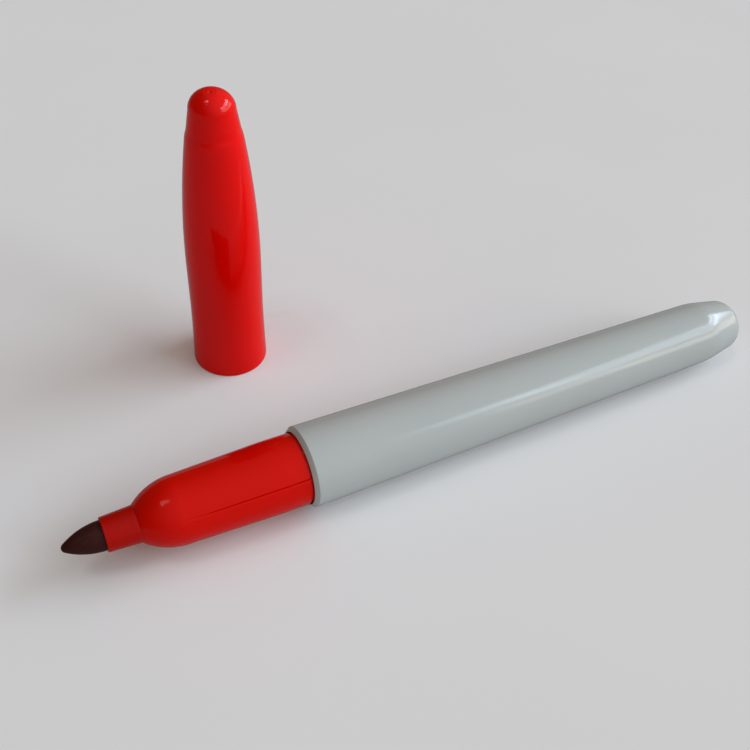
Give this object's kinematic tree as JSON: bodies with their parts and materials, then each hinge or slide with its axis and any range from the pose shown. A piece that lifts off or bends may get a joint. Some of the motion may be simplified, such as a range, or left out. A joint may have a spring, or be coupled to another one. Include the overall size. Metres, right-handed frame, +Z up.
{
  "type": "permanent marker",
  "caption": "Red fibre-tip permanent marker with a grey tapered barrel, lying uncapped beside its standing red cap, which has a moulded pocket clip and an inner sealing sleeve.",
  "frame": {"origin": "on the table, below the centre of the box round the lying marker and the standing cap", "axes": "+X along the lying marker from its nib to its tail, +Y from the marker towards the cap behind it, +Z up along the cap's axis"},
  "size_m": [0.1196, 0.0489, 0.0495],
  "materials": {
    "grey_barrel_plastic": "satin injection-moulded polypropylene in silver grey",
    "red_holder_plastic": "glossy injection-moulded polypropylene in red",
    "inked_nib_fibre": "pressed polyester fibre soaked with dark red ink",
    "inked_reservoir_fibre": "bonded polyester fibre rod soaked with red ink",
    "clear_wrap_film": "thin clear polypropylene film",
    "red_cap_plastic": "glossy injection-moulded polypropylene in red"
  },
  "bodies": {
    "marker": {"barrel": "grey_barrel_plastic", "nib_holder": "red_holder_plastic", "nib": "inked_nib_fibre", "ink_reservoir": "inked_reservoir_fibre", "reservoir_film": "clear_wrap_film"},
    "cap": {"cap": "red_cap_plastic"}
  },
  "joints": [
    {"name": "cap_lift", "type": "slide", "parent": "marker", "child": "cap", "axis": [0, 0, 1], "range_m": [0, 0.04]}
  ]
}
